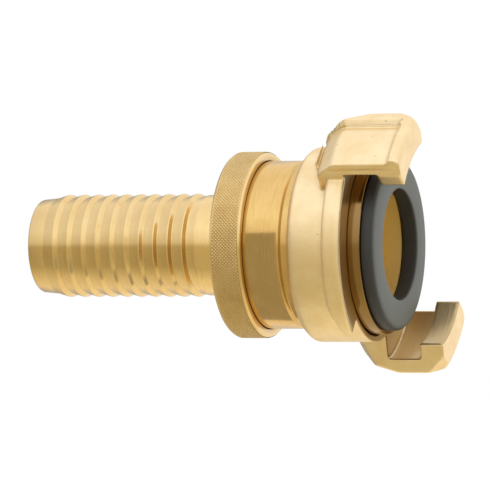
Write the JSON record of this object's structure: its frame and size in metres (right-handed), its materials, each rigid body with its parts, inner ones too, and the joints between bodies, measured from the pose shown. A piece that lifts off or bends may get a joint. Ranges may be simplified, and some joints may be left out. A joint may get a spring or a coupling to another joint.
{
  "type": "claw hose coupling",
  "caption": "Brass claw coupling half that locks by a part turn, with a barbed hose tail, knurled gland nut, swivelling claw body and rubber face seal.",
  "frame": {"origin": "centre of the hose tail's open end", "axes": "+X along the water way, from the hose to the seal; the claws stand above and below, turned about +X"},
  "size_m": [0.0794, 0.0448, 0.0496],
  "materials": {
    "turned_brass": "satin, turned",
    "forged_brass": "forged and blasted, satin",
    "knurled_brass": "diamond knurled",
    "nbr_rubber": "matte",
    "acetal": "matte"
  },
  "bodies": {
    "tail": {"hose_tail": "turned_brass", "seal_head": "turned_brass", "seal_ring": "nbr_rubber"},
    "carrier": {"slip_washer": "acetal"},
    "nut": {"knurled_nut": "knurled_brass"},
    "claws": {"claw_body": "forged_brass"}
  },
  "joints": [
    {"name": "swivel", "type": "hinge", "parent": "tail", "child": "carrier", "pos_m": [0.0536, 0, 0], "axis": [1, 0, 0], "continuous": true},
    {"name": "nut_turn", "type": "hinge", "parent": "carrier", "child": "nut", "pos_m": [0.0436, 0, 0], "axis": [-1, 0, 0], "range_deg": [0, 865]},
    {"name": "claw_draw", "type": "slide", "parent": "carrier", "child": "claws", "axis": [1, 0, 0], "range_m": [0, 0.0036]}
  ],
  "couplings": [
    {"joint": "nut_turn", "follows": "claw_draw", "rad_per_m": 4188.8}
  ]
}
